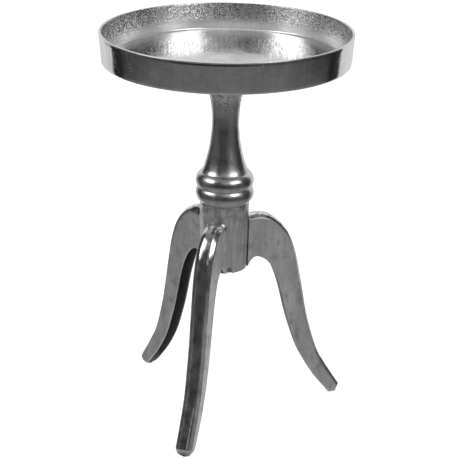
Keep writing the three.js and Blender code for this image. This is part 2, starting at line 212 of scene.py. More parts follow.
def catmull_rom(points, steps):
    """Smooth curve through the points, with this many steps between each two."""
    curve = []
    for i in range(len(points) - 1):
        before = points[max(i - 1, 0)]
        start, end = points[i], points[i + 1]
        after = points[min(i + 2, len(points) - 1)]
        for k in range(steps):
            t = k / steps
            leave, arrive = (end - before) / 2, (after - start) / 2
            curve.append(
                start * (2 * t**3 - 3 * t**2 + 1) + leave * (t**3 - 2 * t**2 + t)
                + end * (3 * t**2 - 2 * t**3) + arrive * (t**3 - t**2)
            )
    curve.append(points[-1].copy())
    return curve


def lengths_along(points):
    total = [0.0]
    for a, b in zip(points, points[1:]):
        total.append(total[-1] + (b - a).length)
    return total


class Path:
    """A smooth curve read by the share of its length, 0 at its start and 1 at its end."""

    def __init__(self, points):
        self.points = catmull_rom(vectors(points), PATH_STEPS)
        self.lengths = lengths_along(self.points)

    def at(self, share):
        wanted = min(max(share, 0.0), 1.0) * self.lengths[-1]
        low, high = 0, len(self.lengths) - 1
        while high - low > 1:
            middle = (low + high) // 2
            if self.lengths[middle] <= wanted:
                low = middle
            else:
                high = middle
        part = (wanted - self.lengths[low]) / (self.lengths[high] - self.lengths[low])
        return self.points[low].lerp(self.points[high], part)

    def direction(self, share):
        return (self.at(share + 0.004) - self.at(share - 0.004)).normalized()


def eased(corners, closed=True, steps=4):
    """Corners given as (point, cut). Each is replaced by a short curve that leaves its two edges at
    the distance cut from the corner."""
    points = []
    for i, (corner, cut) in enumerate(corners):
        corner = Vector(corner)
        if cut == 0 or (not closed and i in (0, len(corners) - 1)):
            points.append(corner)
            continue
        before = Vector(corners[i - 1][0])
        after = Vector(corners[(i + 1) % len(corners)][0])
        start = corner + (before - corner).normalized() * min(cut, (before - corner).length * 0.49)
        end = corner + (after - corner).normalized() * min(cut, (after - corner).length * 0.49)
        for k in range(steps + 1):
            t = k / steps
            points.append(start * (1 - t) ** 2 + corner * 2 * t * (1 - t) + end * t**2)
    return points


def refined(points, spacing, closed=True):
    """The same outline with long straight stretches cut into even steps."""
    result = []
    count = len(points) if closed else len(points) - 1
    for i in range(count):
        a, b = points[i], points[(i + 1) % len(points)]
        steps = max(1, round((b - a).length / spacing))
        result.extend(a.lerp(b, k / steps) for k in range(steps))
    if not closed:
        result.append(points[-1])
    return result


def smoothstep(low, high, value):
    t = min(max((value - low) / (high - low), 0.0), 1.0)
    return t * t * (3 - 2 * t)


# ---------------------------------------------------------------- meshes


def make_piece(name, points, faces, material):
    mesh = bpy.data.meshes.new(name)
    mesh.from_pydata([tuple(p) for p in points], [], faces)
    mesh.materials.append(material)
    work = bmesh.new()
    work.from_mesh(mesh)
    bmesh.ops.recalc_face_normals(work, faces=work.faces)
    for face in work.faces:
        face.smooth = True
    for edge in work.edges:
        if edge.is_manifold and edge.calc_face_angle(0.0) > SHARP_ANGLE:
            edge.smooth = False
    work.to_mesh(mesh)
    work.free()
    piece = bpy.data.objects.new(name, mesh)
    bpy.context.scene.collection.objects.link(piece)
    return piece


def outward(profile, i, closed):
    count = len(profile)
    if closed:
        before, after = profile[i - 1], profile[(i + 1) % count]
    else:
        before, after = profile[max(i - 1, 0)], profile[min(i + 1, count - 1)]
    along = (after - before).normalized()
    return Vector((along.y, -along.x))


def even_azimuths(sides):
    return [2 * math.pi * j / sides for j in range(sides)]


def turned(name, profile, azimuths, material, relief, shrink=None):
    """Body turned about +Z. The profile holds (radius, height), anticlockwise with the axis on its
    left. It starts and ends on the axis, or closes on itself. relief(point, away) moves a point off
    the surface, and shrink(radius, height, azimuth) gives its new radius."""
    on_axis = profile[0].x < 1e-6
    points, rows = [], []
    for i, place in enumerate(profile):
        if place.x < 1e-6:
            points.append(Vector((0, 0, place.y)))
            rows.append([len(points) - 1] * len(azimuths))
            continue
        away = outward(profile, i, not on_axis)
        row = []
        for azimuth in azimuths:
            c, s = math.cos(azimuth), math.sin(azimuth)
            radius = shrink(place.x, place.y, azimuth) if shrink else place.x
            point = Vector((radius * c, radius * s, place.y))
            point += Vector((away.x * c, away.x * s, away.y)) * relief(point, away)
            row.append(len(points))
            points.append(point)
        rows.append(row)
    faces = []
    pairs = len(rows) - 1 if on_axis else len(rows)
    for i in range(pairs):
        lower, upper = rows[i], rows[(i + 1) % len(rows)]
        for j in range(len(azimuths)):
            k = (j + 1) % len(azimuths)
            corners = [lower[j], lower[k], upper[k], upper[j]]
            face = [v for n, v in enumerate(corners) if v != corners[n - 1]]
            faces.append(face)
    return make_piece(name, points, faces, material)


def store(piece, attribute, values):
    """Keeps one value for each point of the piece, for its material to read."""
    layer = piece.data.attributes.new(attribute, "FLOAT", "POINT")
    layer.data.foreach_set("value", values)


def paint(piece, attribute, value):
    """Keeps value(position, normal) for each point of the piece."""
    store(piece, attribute, [value(vertex.co, vertex.normal) for vertex in piece.data.vertices])


def facing_out(position, normal):
    """How far a surface faces away from the column's axis, from -1 to 1."""
    return normal.xy.dot(position.xy.normalized())


def ripple(point, wavelength, depth, seed=0.0):
    """Gentle unevenness left by hand polishing."""
    return depth * noise.noise(point / wavelength + Vector((seed, seed * 1.7, -seed)))


# ---------------------------------------------------------------- material nodes


class Graph:
    """Short ways to build a node tree."""

    def __init__(self, tree):
        self.tree = tree
        tree.nodes.clear()

    def node(self, kind, **settings):
        made = self.tree.nodes.new(kind)
        for key, value in settings.items():
            setattr(made, key, value)
        return made

    def put(self, socket, value):
        if isinstance(value, bpy.types.NodeSocket):
            self.tree.links.new(value, socket)
        elif value is not None:
            socket.default_value = value

    def math(self, operation, a, b=None, clamp=False):
        made = self.node("ShaderNodeMath", operation=operation, use_clamp=clamp)
        self.put(made.inputs[0], a)
        if b is not None:
            self.put(made.inputs[1], b)
        return made.outputs[0]

    def ramp(self, value, low, high, start=0.0, end=1.0):
        """Goes smoothly from start, where the value is low, to end, where it is high."""
        made = self.node("ShaderNodeMapRange", interpolation_type="SMOOTHSTEP")
        self.put(made.inputs["Value"], value)
        for key, number in (("From Min", low), ("From Max", high), ("To Min", start), ("To Max", end)):
            self.put(made.inputs[key], number)
        return made.outputs["Result"]

    def window(self, value, low, high, soft):
        """1 between low and high and 0 beyond them, with soft edges."""
        rise = self.ramp(value, low - soft, low + soft)
        fall = self.ramp(value, high - soft, high + soft, 1.0, 0.0)
        return self.math("MULTIPLY", rise, fall)

    def mix(self, share, a, b):
        made = self.node("ShaderNodeMix", data_type="FLOAT")
        self.put(made.inputs["Factor"], share)
        self.put(made.inputs["A"], a)
        self.put(made.inputs["B"], b)
        return made.outputs["Result"]

    def grey(self, value):
        made = self.node("ShaderNodeCombineColor")
        for channel in made.inputs:
            self.put(channel, value)
        return made.outputs[0]

    def place(self, stretch=(1, 1, 1)):
        """Position on the object, in metres, squeezed or stretched along its axes."""
        made = self.node("ShaderNodeMapping")
        self.put(made.inputs["Vector"], self.node("ShaderNodeTexCoord").outputs["Object"])
        made.inputs["Scale"].default_value = stretch
        return made.outputs[0]

    def noise(self, vector, size, detail=3.0, roughness=0.55):
        """Cloudy noise around 0.5, with features of about the given size in metres."""
        made = self.node("ShaderNodeTexNoise")
        self.put(made.inputs["Vector"], vector)
        made.inputs["Scale"].default_value = 1 / size
        made.inputs["Detail"].default_value = detail
        made.inputs["Roughness"].default_value = roughness
        return made.outputs["Factor"] if "Factor" in made.outputs else made.outputs["Fac"]

    def dots(self, vector, spacing, share):
        """Ragged dots, 1 in the middle: spacing metres apart, each as wide as that share of it."""
        made = self.node("ShaderNodeTexVoronoi", feature="F1")
        self.put(made.inputs["Vector"], vector)
        made.inputs["Scale"].default_value = 1 / spacing
        ragged = self.math("MULTIPLY", self.noise(vector, spacing / 3, 2.0), share * 0.7)
        distance = self.math("ADD", made.outputs["Distance"], ragged)
        return self.ramp(distance, share * 0.45, share * 0.85, 1.0, 0.0)

    def attribute(self, name):
        return self.node("ShaderNodeAttribute", attribute_name=name).outputs["Fac"]

    def bump(self, height, distance, normal=None):
        made = self.node("ShaderNodeBump")
        made.inputs["Distance"].default_value = distance
        self.put(made.inputs["Height"], height)
        self.put(made.inputs["Normal"], normal)
        return made.outputs[0]


def new_material(name):
    material = bpy.data.materials.new(name)
    material.use_nodes = True
    return material, Graph(material.node_tree)


def finish_surface(graph, colour, roughness, normal, metallic):
    shader = graph.node("ShaderNodeBsdfPrincipled")
    graph.put(shader.inputs["Base Color"], colour)
    graph.put(shader.inputs["Roughness"], roughness)
    graph.put(shader.inputs["Normal"], normal)
    graph.put(shader.inputs["Metallic"], metallic)
    graph.put(graph.node("ShaderNodeOutputMaterial").inputs["Surface"], shader.outputs[0])
    return shader


# ---------------------------------------------------------------- materials


def polished_cast(name, lightness, rough_low, rough_high, pit_spacing):
    """Hand-polished casting. The painted attribute rough_cast (0 to 1) brings out its open grain, pitted
    (0 and up) the clusters of small pits, hazy (0 to 1) a duller polish, and frosted (0 to 1) a pale
    unpolished skin."""
    material, g = new_material(name)
    place = g.place()
    rough_cast = g.attribute("rough_cast")
    clouds = g.noise(place, 0.045)
    patches = g.ramp(g.noise(place, 0.03, 4.0), 0.36, 0.72)
    streaks = g.noise(g.place((1, 1, 0.09)), 0.006, 4.0)
    scratches = g.noise(g.place((0.06, 1.4, 1)), 0.003, 2.0)
    frosted = g.attribute("frosted")
    grain = g.noise(place, 0.003, 3.0)
    speckle = g.ramp(g.noise(place, 0.0034, 3.0), 0.5, 0.6)
    cluster = g.ramp(g.noise(place, 0.03, 4.0), 0.46, 0.64)

    pits = g.dots(place, pit_spacing, 0.55)
    spread = g.math("ADD", g.math("MULTIPLY", g.attribute("pitted"), 0.9), 0.06)
    pitting = g.math("MULTIPLY", pits, g.math("MULTIPLY", cluster, spread, clamp=True), clamp=True)
    grainy = g.math("MULTIPLY", g.math("POWER", rough_cast, 3.0), g.math("MAXIMUM", cluster, 0.7))
    open_grain = g.math("MULTIPLY", speckle, grainy)
    dirt = g.math("MAXIMUM", pitting, open_grain)

    shade = g.math("ADD", g.math("MULTIPLY", clouds, 0.34), g.math("MULTIPLY", streaks, 0.26))
    shade = g.math("ADD", g.math("SUBTRACT", shade, 0.30), lightness)
    shade = g.math("MULTIPLY", shade, g.math("SUBTRACT", 1.0, g.math("MULTIPLY", dirt, 0.85)))

    roughness = g.mix(patches, rough_low, rough_high)
    roughness = g.math("ADD", roughness, g.math("MULTIPLY", g.math("SUBTRACT", streaks, 0.5), 0.12))
    roughness = g.math("ADD", roughness, g.math("MULTIPLY", g.attribute("hazy"), 0.04))
    roughness = g.math("ADD", roughness, g.math("MULTIPLY", dirt, 0.3), clamp=True)
    roughness = g.math("ADD", roughness, g.math("MULTIPLY", frosted, 0.04), clamp=True)

    relief = g.math("ADD", g.math("MULTIPLY", rough_cast, 0.8), 0.03)
    normal = g.bump(g.math("MULTIPLY", grain, relief), 0.0006)
    normal = g.bump(g.math("MULTIPLY", streaks, 0.5), 0.0001, normal)
    normal = g.bump(g.math("MULTIPLY", scratches, patches), 0.00004, normal)
    normal = g.bump(g.math("SUBTRACT", 1.0, dirt), 0.0002, normal)
    finish_surface(g, g.grey(shade), roughness, normal, g.mix(frosted, 1.0, 0.45))
    return material


def satin_cast():
    """Satin casting. The painted attribute polish is 1 on buffed faces, ground is 1 where grinding left
    long streaks, stained is 1 round the joints, and hollow is 1 in the open channel and inside the hub,
    which are left rough from the sand and made dark, partly as the sand skin's own colour and partly
    as painted shade, and part way in the hub's notch, where the dark is painted shade."""
    material, g = new_material("satin_cast")
    place = g.place()
    polish = g.attribute("polish")
    sand_skin_and_shade = g.attribute("sand_skin_and_shade")
    stained = g.attribute("stained")
    clouds = g.noise(g.place((1, 1, 0.6)), 0.028, 4.0)
    stains = g.ramp(g.noise(place, 0.016, 5.0, 0.6), 0.48, 0.72)
    streaks = g.ramp(g.noise(g.place((1, 1, 0.10)), 0.006, 4.0), 0.3, 0.7)
    brushing = g.noise(g.place((1, 1, 0.05)), 0.0012, 2.0)
    grain = g.noise(place, 0.0016, 2.0)
    lumps = g.noise(place, 0.005, 4.0)
    pits = g.dots(place, 0.0034, 0.5)
    cluster = g.ramp(g.noise(place, 0.02, 3.0), 0.56, 0.7)
    pitting = g.math("MULTIPLY", pits, cluster)

    shade = g.math("MULTIPLY", streaks, g.mix(polish, 0.08, 0.52))
    shade = g.math("ADD", g.math("MULTIPLY", clouds, 0.44), shade)
    shade = g.math("ADD", shade, g.mix(polish, 0.39, 0.26))
    shade = g.math("SUBTRACT", shade, g.math("MULTIPLY", stains, g.mix(polish, 0.20, 0.14)))
    smudges = g.ramp(g.noise(place, 0.012, 4.0), 0.42, 0.6)
    shade = g.math("SUBTRACT", shade, g.math("MULTIPLY", smudges, g.math("MULTIPLY", stained, 0.26)))
    shade = g.math("MULTIPLY", shade, g.math("SUBTRACT", 1.0, g.math("MULTIPLY", pitting, 0.6)))
    # Dark in the channel and inside the hub, partly the sand skin's colour and partly painted shade, and
    # in the hub's notch, as painted shade.
    shade = g.mix(sand_skin_and_shade, shade, g.math("ADD", g.math("MULTIPLY", lumps, 0.20), 0.05))

    roughness = g.mix(polish, 0.42, 0.15)
    uneven = g.math("MULTIPLY", g.math("SUBTRACT", clouds, 0.5), g.mix(polish, 0.20, 0.08))
    roughness = g.math("ADD", roughness, uneven)
    roughness = g.math("ADD", roughness, g.math("MULTIPLY", stains, g.mix(polish, 0.08, 0.03)))
    roughness = g.mix(sand_skin_and_shade, roughness, 0.75)

    normal = g.bump(g.math("MULTIPLY", grain, g.mix(polish, 0.25, 0.08)), 0.0006)
    normal = g.bump(g.math("MULTIPLY", brushing, g.mix(polish, 1.0, 0.4)), 0.00006, normal)
    normal = g.bump(g.math("MULTIPLY", streaks, g.attribute("ground")), 0.0002, normal)
    normal = g.bump(g.math("MULTIPLY", lumps, sand_skin_and_shade), 0.0015, normal)
    normal = g.bump(g.math("SUBTRACT", 1.0, pitting), 0.0003, normal)
    finish_surface(g, g.grey(shade), roughness, normal, g.mix(polish, 0.76, 0.96))
    return material


def plated_steel():
    """Zinc-plated hardware: cloudy plating with fine scratches and duller patches."""
    material, g = new_material("plated_steel")
    place = g.place()
    clouds = g.noise(place, 0.006, 4.0)
    scratches = g.noise(g.place((1, 1, 12)), 0.004, 3.0)
    dull = g.ramp(g.noise(place, 0.01, 4.0), 0.5, 0.62)
    shade = g.math("ADD", g.math("MULTIPLY", clouds, 0.22), 0.40)
    shade = g.math("SUBTRACT", shade, g.math("MULTIPLY", dull, 0.10))
    roughness = g.math("ADD", g.math("MULTIPLY", scratches, 0.22), 0.20)
    roughness = g.math("ADD", roughness, g.math("MULTIPLY", dull, 0.15))
    finish_surface(g, g.grey(shade), roughness, g.bump(scratches, 0.00008), 1.0)
    return material


def black_rubber():
    """Moulded rubber with a fine leathery grain and dust in its hollows."""
    material, g = new_material("black_rubber")
    place = g.place()
    grain = g.noise(place, 0.0007, 3.0)
    dust = g.ramp(g.noise(place, 0.004, 4.0), 0.5, 0.75)
    shade = g.math("ADD", g.math("MULTIPLY", dust, 0.03), 0.014)
    roughness = g.math("ADD", g.math("MULTIPLY", grain, 0.25), 0.62)
    finish_surface(g, g.grey(shade), roughness, g.bump(grain, 0.0001), 0.0)
    return material


MIRROR = polished_cast(
    "polished_cast_tray", lightness=0.80, rough_low=0.05, rough_high=0.16, pit_spacing=0.003,
)
TURNED = polished_cast(
    "polished_cast_column", lightness=0.78, rough_low=0.25, rough_high=0.37, pit_spacing=0.0026,
)
SATIN = satin_cast()
STEEL = plated_steel()
RUBBER = black_rubber()

# ---------------------------------------------------------------- tray


def tray():
    underside = RIM_Z - TRAY_DEPTH
    floor_top = underside + FLOOR_THICKNESS
    groove_foot = RIM_Z - RIM_EDGE - RIM_GROOVE_HEIGHT
    groove_top = RIM_Z - RIM_EDGE - RIM_GROOVE_DEPTH

    def wall_at(height, depth=0.0):
        share = (height - underside) / TRAY_DEPTH
        return TRAY_BASE_RADIUS + (TRAY_RADIUS - TRAY_BASE_RADIUS) * share - depth, height

    corners = [
        ((0, TRAY_LOW.z), 0),
        ((PAD_RADIUS, TRAY_LOW.z), 0.0008),
        ((PAD_RADIUS + PAD_BEVEL, underside), 0.0012),
        ((TRAY_BASE_RADIUS, underside), TRAY_CORNER),
        (wall_at(groove_foot), 0.0003),
        (wall_at(groove_top, RIM_GROOVE_DEPTH), 0.0003),
        (wall_at(RIM_Z - RIM_EDGE), 0.0003),
        ((TRAY_RADIUS, RIM_Z), RIM_ROUND),
        ((TRAY_RADIUS - RIM_THICKNESS, RIM_Z), RIM_ROUND),
        ((FLOOR_RADIUS, floor_top), FLOOR_FILLET),
        ((0, floor_top), 0),
    ]
    profile = refined(eased(corners, closed=False, steps=6), OUTLINE_STEP, closed=False)

    def relief(point, away):
        if away.y > 0.9:
            return ripple(point, 0.035, 0.00005) - 0.0001
        return ripple(point, 0.025, 0.00006, 7.0) + ripple(point, 0.008, 0.00003, 9.0) - 0.0001

    def faces_in(position, normal):
        return smoothstep(0.3, 0.8, -facing_out(position, normal))

    def rough_cast(position, normal):
        high_up = smoothstep(floor_top + 0.008, floor_top + 0.022, position.z)
        below = smoothstep(0.5, 0.9, -normal.z) * 0.6
        return max(faces_in(position, normal) * (0.5 + 0.5 * high_up), below)

    def frosted(position, normal):
        low_down = smoothstep(floor_top + 0.024, floor_top + 0.006, position.z)
        return faces_in(position, normal) * low_down

    def hazy(position, normal):
        return smoothstep(0.7, 0.95, normal.z) if position.z < RIM_Z - 0.01 else 0.0

    def pitted(position, normal):
        return smoothstep(0.3, 0.8, abs(facing_out(position, normal)))

    piece = turned("tray", profile, even_azimuths(TRAY_SIDES), MIRROR, relief)
    paint(piece, "rough_cast", rough_cast)
    paint(piece, "pitted", pitted)
    paint(piece, "hazy", hazy)
    paint(piece, "frosted", frosted)
    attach(piece, "root")
    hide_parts("tray_pan")


# ---------------------------------------------------------------- column


def column():
    foot = COLUMN_LOW.z + SPIGOT_LENGTH
    top = COLUMN_HIGH.z
    cup_floor = top - CUP_DEPTH
    bore_step = cup_floor - BORE_MOUTH_DEPTH
    outside = [
        Vector((COLLAR_FOOT_RADIUS, foot)),
        Vector((COLLAR_RADIUS, COLLAR_TOP)),
        *arc((BEAD_CENTRE, LOWER_BEAD_Z), BEAD_RADIUS, *LOWER_BEAD_ARC),
        *arc((BEAD_CENTRE, UPPER_BEAD_Z), BEAD_RADIUS, *UPPER_BEAD_ARC),
        *catmull_rom(vectors(NECK), NECK_STEPS),
        Vector((NECK[-1][0], top)),
    ]
    inside = vectors([
        (CUP_RADIUS, top), (CUP_RADIUS, cup_floor), (BORE_MOUTH_RADIUS, cup_floor),
        (BORE_MOUTH_RADIUS, bore_step), (BORE_RADIUS, bore_step - BORE_TAPER),
        (BORE_RADIUS, COLUMN_LOW.z), (SPIGOT_RADIUS, COLUMN_LOW.z), (SPIGOT_RADIUS, foot),
    ])
    profile = refined(outside + inside, OUTLINE_STEP)

    def relief(point, away):
        if Vector((point.x, point.y)).length < SPIGOT_RADIUS * 0.7:
            return 0.0
        return ripple(point, 0.018, 0.00014) + ripple(point, 0.006, 0.00004, 5.0) - 0.0001

    def rough_cast(position, normal):
        top_of_neck = smoothstep(0.505, 0.535, position.z) * 0.9
        grooves = max(0.0, -normal.z) * 0.8
        return max(0.15, top_of_neck, grooves)

    def pitted(position, normal):
        porous_side = 0.5 + 0.5 * math.cos(math.atan2(position.y, position.x) - POROUS_AZIMUTH)
        return 4.0 * smoothstep(0.485, 0.53, position.z) * porous_side**2

    piece = turned("column", profile, even_azimuths(COLUMN_SIDES), TURNED, relief)
    paint(piece, "rough_cast", rough_cast)
    paint(piece, "pitted", pitted)
    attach(piece, "root")
    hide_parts("column_spindle")


# ---------------------------------------------------------------- hub


def hub_radius(height):
    """Radius of the hub's tapered outside at one height."""
    share = (height - HUB_BOTTOM) / (HUB_TOP - HUB_BOTTOM)
    return HUB_BOTTOM_RADIUS + (HUB_TOP_RADIUS - HUB_BOTTOM_RADIUS) * share


def hub_azimuths():
    """Even steps, with a closer set across the notch."""
    margin = NOTCH_HALF_WIDTH / HUB_BOTTOM_RADIUS * NOTCH_MARGIN
    rest = 2 * math.pi - 2 * margin
    close = [NOTCH_AZIMUTH - margin + 2 * margin * i / NOTCH_SIDES for i in range(NOTCH_SIDES)]
    return close + [NOTCH_AZIMUTH + margin + rest * i / HUB_SIDES for i in range(HUB_SIDES)]


def hub_profile():
    plate_top = HUB_TOP - SPIGOT_LENGTH
    plate_bottom = plate_top - HUB_PLATE
    recess = SPIGOT_RADIUS + SPIGOT_GAP
    notch_top = HUB_BOTTOM + NOTCH_HEIGHT * NOTCH_MARGIN
    corners = [
        ((HUB_HOLE_RADIUS, plate_bottom), 0.0006),
        ((HUB_INSIDE_RADIUS - HUB_CHAMFER, plate_bottom), 0.002),
        ((HUB_INSIDE_RADIUS, plate_bottom - HUB_CHAMFER), 0.002),
        ((HUB_INSIDE_RADIUS, HUB_BOTTOM), 0.0008),
        ((HUB_BOTTOM_RADIUS, HUB_BOTTOM), 0.0012),
        ((hub_radius(notch_top), notch_top), 0),
        ((HUB_TOP_RADIUS, HUB_TOP), 0.0007),
        ((recess, HUB_TOP), 0.0005),
        ((recess, plate_top), 0.0005),
        ((HUB_HOLE_RADIUS, plate_top), 0.0006),
    ]
    outline = eased(corners)
    notch_end = next(i for i, place in enumerate(outline) if abs(place.y - notch_top) < 1e-6)
    low = refined(outline[:notch_end], OUTLINE_STEP, closed=False)
    wall = refined(outline[notch_end - 1:notch_end + 1], NOTCH_STEP, closed=False)
    high = refined(outline[notch_end:] + outline[:1], OUTLINE_STEP, closed=False)
    return low[:-1] + wall[:-1] + high[:-1]


def notch_depth(height, azimuth):
    """How deep the blind arch in the bottom edge is at one place on the outside of the hub."""
    across = (azimuth - NOTCH_AZIMUTH) * HUB_BOTTOM_RADIUS
    above = max(height - HUB_BOTTOM - (NOTCH_HEIGHT - NOTCH_HALF_WIDTH), 0.0)
    inside = NOTCH_HALF_WIDTH - math.hypot(across, above)
    return NOTCH_DEPTH * smoothstep(0.0, NOTCH_EDGE, inside)


def hub():
    def shrink(radius, height, azimuth):
        wall = hub_radius(height) - HUB_INSIDE_RADIUS
        beyond = radius - HUB_INSIDE_RADIUS
        if beyond <= 0 or height > HUB_BOTTOM + NOTCH_HEIGHT:
            return radius
        return HUB_INSIDE_RADIUS + beyond * (1 - notch_depth(height, azimuth) / wall)

    def relief(point, away):
        return ripple(point, 0.02, 0.00022) + ripple(point, 0.007, 0.00005, 5.0) - 0.0001

    # The hub's inside is painted dark, partly as its sand skin and partly as painted shade, and its
    # notch as painted shade.
    def sand_skin_and_shade(position, normal):
        inner_wall = smoothstep(0.2, 0.7, -facing_out(position, normal))
        azimuth = math.atan2(position.y, position.x) % (2 * math.pi)
        return max(inner_wall, 0.6 * notch_depth(position.z, azimuth) / NOTCH_DEPTH)

    def stained(position, normal):
        return smoothstep(HUB_TOP - 0.03, HUB_TOP - 0.006, position.z)

    piece = turned("hub", hub_profile(), hub_azimuths(), SATIN, relief, shrink)
    paint(piece, "polish", lambda position, normal: 0.25)
    paint(piece, "stained", stained)
    paint(piece, "sand_skin_and_shade", sand_skin_and_shade)
    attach(piece, "root")
    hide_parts("leg_hub")


# ---------------------------------------------------------------- legs, in the plane of +X and +Z

OUTER_PATH = Path(LEG_OUTER)
INNER_PATH = Path(LEG_INNER)
LEG_LENGTH = OUTER_PATH.lengths[-1]


def leg_corners(share):
    """Corners of one section as (point, cut), from the left back edge round to it again."""
    outer = OUTER_PATH.at(share)
    inner = INNER_PATH.at(share) if share < 1 else TOE_TIP
    along = OUTER_PATH.direction(share)
    inward = Vector((along.y, -along.x))
    half = LEG_HALF_WIDTH_TOP + (LEG_HALF_WIDTH_TOE - LEG_HALF_WIDTH_TOP) * share
    near_root = max(0.0, 1 - (outer.x - hub_radius(outer.y)) / ROOT_FLARE_REACH)
    flare = ROOT_FLARE * min(near_root, 1.0) ** 2
    to_end = min((1 - share) * LEG_LENGTH, END_ROUND)
    rounding = END_ROUND - math.sqrt(END_ROUND**2 - (END_ROUND - to_end) ** 2)
    half += flare - rounding
    outer = outer + inward * (rounding - flare * 0.4)
    face_half = half - LEG_BEVEL_WIDTH - flare * 0.3
    face = outer + inward * (LEG_CROWNING_TOP + (LEG_CROWNING_TOE - LEG_CROWNING_TOP) * share)
    bevel = outer + inward * LEG_BEVEL_DEPTH
    depth = smoothstep(CHANNEL_START, CHANNEL_START + CHANNEL_RISE, share)
    depth *= smoothstep(CHANNEL_END, CHANNEL_END - CHANNEL_FALL, share)
    roof = inner.lerp(outer + inward * LEG_FACE_WALL, depth)
    lip = half - LEG_WALL
    draft = lip - CHANNEL_DRAFT * depth

    def at(point, side):
        return Vector((point.x, side, point.y))

    return [
        (at(inner, -half), EDGE_CUT),
        (at(inner, -lip), LIP_CUT),
        (at(roof, -draft), ROOF_CUT),
        (at(roof, draft), ROOF_CUT),
        (at(inner, lip), LIP_CUT),
        (at(inner, half), EDGE_CUT),
        (at(bevel, half), EDGE_CUT),
        (at(face, face_half), FACE_CUT),
        (at(outer, 0), RIDGE_CUT),
        (at(face, -face_half), FACE_CUT),
        (at(bevel, -half), EDGE_CUT),
    ]


# Edges of one section, numbered by the corner that each starts from. BEVEL_EDGES says how much of its
# polish each bevel has lost at the toe.
EDGE_STEPS = (2, 6, 8, 6, 2, 10, 3, 3, 3, 3, 10)
CORNER_STEPS = 4
CHANNEL_EDGES = (1, 2, 3)
BEVEL_EDGES = {6: 0.8, 9: 0.2}
FACE_EDGES = (7, 8)


def leg_ring(share):
    """One section with its corners eased and its edges divided, and for each point the number of the
    edge that it belongs to."""
    corners = leg_corners(share)
    eased_points = eased(corners, steps=CORNER_STEPS)
    per_corner = CORNER_STEPS + 1
    ring, kinds = [], []
    for edge, steps in enumerate(EDGE_STEPS):
        rounding = eased_points[edge * per_corner:(edge + 1) * per_corner]
        following = eased_points[((edge + 1) % len(corners)) * per_corner]
        ring.extend(rounding)
        straight = [rounding[-1].lerp(following, k / steps) for k in range(1, steps)]
        ring.extend(straight)
        kinds.extend([edge] * (len(rounding) + len(straight)))
    return ring, kinds


def rounded_sole(point):
    """Draws in the sides of the sole, so that its long edges are round."""
    height = point.z - TOE_TIP.y
    if height < SOLE_ROUND:
        height = max(height, 0.0)
        drawn_in = SOLE_ROUND - math.sqrt(SOLE_ROUND**2 - (SOLE_ROUND - height) ** 2)
        point.y *= 1 - drawn_in / LEG_HALF_WIDTH_TOE
    return point


def leg_shares():
    """Close together where the leg leaves the hub and where the toe is rounded off."""
    middle = 1 - ROOT_SHARE - TOE_SHARE
    shares = [ROOT_SHARE * (i / ROOT_ROWS) ** 1.5 for i in range(ROOT_ROWS)]
    shares += [ROOT_SHARE + middle * i / LEG_ROWS for i in range(LEG_ROWS)]
    shares += [1 - TOE_SHARE * (1 - i / TOE_ROWS) ** 1.6 for i in range(TOE_ROWS + 1)]
    return shares


def root_share(index):
    """Share at which one lengthwise line of the leg comes out of the hub."""
    low, high = 0.0, 0.2
    for _ in range(30):
        middle = (low + high) / 2
        point = leg_ring(middle)[0][index]
        if point.xy.length < hub_radius(point.z) - ROOT_SINK:
            low = middle
        else:
            high = middle
    return high


def roughen(point, world, kind, own, share):
    """Adds the sand's roughness in the channel and the waves left by grinding elsewhere."""
    if kind in CHANNEL_EDGES:
        fade = smoothstep(0.12, 0.2, own) * smoothstep(0.93, 0.9, own)
        point.z += fade * ripple(world, 0.006, 0.0005, 11.0)
        point.y += fade * ripple(world, 0.006, 0.0004, 13.0)
    elif 0.02 < share < 0.97:
        point.y += ripple(world, 0.03, 0.00015, 17.0)
        point.x += ripple(world, 0.03, 0.00012, 19.0)
    return point


def leg_points(turn, shares, kinds):
    """The leg's points row by row, turned to its place. Each lengthwise line starts inside the hub."""
    starts = [root_share(index) for index in range(len(kinds))]
    rings = {}
    points = []
    for share in shares:
        for index, kind in enumerate(kinds):
            own = starts[index] + share * (1 - starts[index])
            key = round(own, 7)
            if key not in rings:
                rings[key] = leg_ring(own)[0]
            point = rounded_sole(rings[key][index].copy())
            points.append(turn @ roughen(point, turn @ point, kind, own, share))
    return points


def leg_faces(rows, count):
    """Faces between the rows, and one at each end."""
    faces = []
    for row in range(rows - 1):
        for i in range(count):
            a = row * count + i
            b = row * count + (i + 1) % count
            faces.append([a, b, b + count, a + count])
    last_row = (rows - 1) * count
    faces.append(list(range(count)))
    faces.append([last_row + i for i in range(count)])
    return faces


def polish_at(kind, share):
    """The outer face is buffed all along, and its bevels turn satin lower down."""
    if kind in FACE_EDGES:
        return 1.0
    if kind in BEVEL_EDGES:
        return 1.0 - BEVEL_EDGES[kind] * smoothstep(0.3, 0.5, share)
    return 0.0


def paint_leg(piece, shares, kinds):
    places = [(kind, share) for share in shares for kind in kinds]
    polish = [polish_at(kind, share) for kind, share in places]
    ground = [polish_at(kind, share) * smoothstep(0.25, 0.4, share) for kind, share in places]
    # The open channel is painted dark, partly as its sand skin and partly as painted shade.
    sand_skin_and_shade = [1.0 if kind in CHANNEL_EDGES else 0.0 for kind, share in places]
    store(piece, "polish", polish)
    store(piece, "ground", ground)
    store(piece, "sand_skin_and_shade", sand_skin_and_shade)


def leg(name, azimuth):
    shares = leg_shares()
    kinds = leg_ring(0.5)[1]
    turn = Matrix.Rotation(math.radians(azimuth), 3, "Z")
    points = leg_points(turn, shares, kinds)
    piece = make_piece(f"leg_{name}_cast", points, leg_faces(len(shares), len(kinds)), SATIN)
    paint_leg(piece, shares, kinds)
    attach(piece, "root")
    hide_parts(f"leg_{name}")


def legs():
    for name, azimuth in LEG_AZIMUTHS.items():
        leg(name, azimuth)


# ---------------------------------------------------------------- pads and hardware


